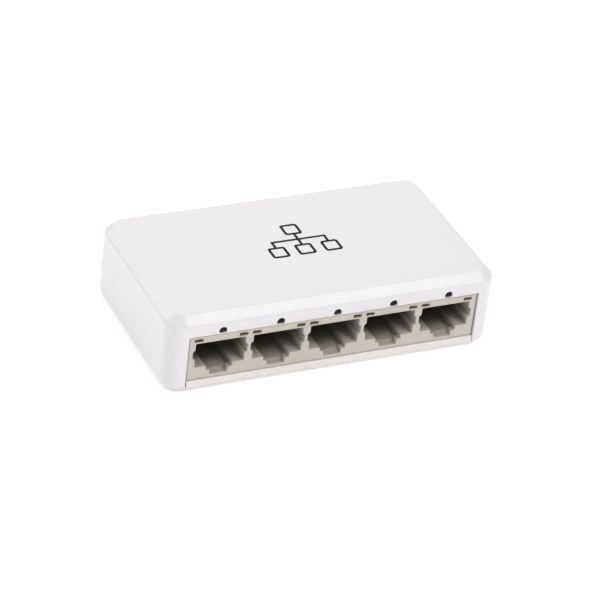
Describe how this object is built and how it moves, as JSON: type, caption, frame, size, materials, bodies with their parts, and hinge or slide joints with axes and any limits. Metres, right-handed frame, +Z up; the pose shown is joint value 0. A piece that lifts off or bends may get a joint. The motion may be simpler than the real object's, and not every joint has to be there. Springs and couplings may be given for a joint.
{
  "type": "desktop network switch",
  "caption": "Small free-standing network switch: white snap-and-screw case, a row of network jacks in front with an indicator hole above each, and a barrel power inlet at the back.",
  "frame": {"origin": "middle of the four rubber feet, on the surface they rest on", "axes": "+X along the row of jacks, to the right when they are faced; -Y out of the jacks; +Z up"},
  "size_m": [0.0812, 0.0456, 0.0198],
  "materials": {
    "case_white": "fine satin moulded",
    "port_cream": "moulded, slightly warm",
    "contact_gold": "gold flashed spring wire",
    "board_green": "solder resist over glass fibre",
    "indicator_lens": "clear resin",
    "clear_acrylic": "clear moulded",
    "package_black": "moulded package",
    "plated_steel": "nickel plated",
    "can_aluminium": "satin can",
    "jack_black": "moulded",
    "foot_rubber": "matt"
  },
  "bodies": {
    "switch": {"top_cover": "case_white", "bottom_cover": "case_white", "port_block": "port_cream", "contact_carrier_1": "port_cream", "contact_carrier_2": "port_cream", "contact_carrier_3": "port_cream", "contact_carrier_4": "port_cream", "contact_carrier_5": "port_cream", "circuit_board": "board_green", "indicator_led_1": "indicator_lens", "indicator_led_2": "indicator_lens", "indicator_led_3": "indicator_lens", "indicator_led_4": "indicator_lens", "indicator_led_5": "indicator_lens", "light_pipe": "clear_acrylic", "magnetics_left": "package_black", "magnetics_right": "package_black", "switch_chip": "package_black", "voltage_regulator": "package_black", "power_inductor": "package_black", "input_diode": "package_black", "crystal": "plated_steel", "power_jack_pin": "plated_steel", "case_screw_left": "plated_steel", "case_screw_right": "plated_steel", "input_capacitor": "can_aluminium", "output_capacitor": "can_aluminium", "filter_capacitor": "can_aluminium", "power_jack": "jack_black", "rubber_foot_front_left": "foot_rubber", "rubber_foot_front_right": "foot_rubber", "rubber_foot_rear_left": "foot_rubber", "rubber_foot_rear_right": "foot_rubber"},
    "port_1_contacts": {"contact_wires_1": "contact_gold"},
    "port_2_contacts": {"contact_wires_2": "contact_gold"},
    "port_3_contacts": {"contact_wires_3": "contact_gold"},
    "port_4_contacts": {"contact_wires_4": "contact_gold"},
    "port_5_contacts": {"contact_wires_5": "contact_gold"},
    "inlet_contact": {"power_jack_spring": "contact_gold"}
  },
  "joints": [
    {"name": "port_1_contacts_flex", "type": "hinge", "parent": "switch", "child": "port_1_contacts", "pos_m": [-0.02794, -0.018, 0.0128], "axis": [1, 0, 0], "range_deg": [0, 12], "stiffness_Nm_per_rad": 0.28},
    {"name": "port_2_contacts_flex", "type": "hinge", "parent": "switch", "child": "port_2_contacts", "pos_m": [-0.01397, -0.018, 0.0128], "axis": [1, 0, 0], "range_deg": [0, 12], "stiffness_Nm_per_rad": 0.28},
    {"name": "port_3_contacts_flex", "type": "hinge", "parent": "switch", "child": "port_3_contacts", "pos_m": [0, -0.018, 0.0128], "axis": [1, 0, 0], "range_deg": [0, 12], "stiffness_Nm_per_rad": 0.28},
    {"name": "port_4_contacts_flex", "type": "hinge", "parent": "switch", "child": "port_4_contacts", "pos_m": [0.01397, -0.018, 0.0128], "axis": [1, 0, 0], "range_deg": [0, 12], "stiffness_Nm_per_rad": 0.28},
    {"name": "port_5_contacts_flex", "type": "hinge", "parent": "switch", "child": "port_5_contacts", "pos_m": [0.02794, -0.018, 0.0128], "axis": [1, 0, 0], "range_deg": [0, 12], "stiffness_Nm_per_rad": 0.28},
    {"name": "inlet_contact_flex", "type": "hinge", "parent": "switch", "child": "inlet_contact", "pos_m": [-0.026, 0.0101, 0.00555], "axis": [-1, 0, 0], "range_deg": [0, 5], "stiffness_Nm_per_rad": 0.2}
  ]
}
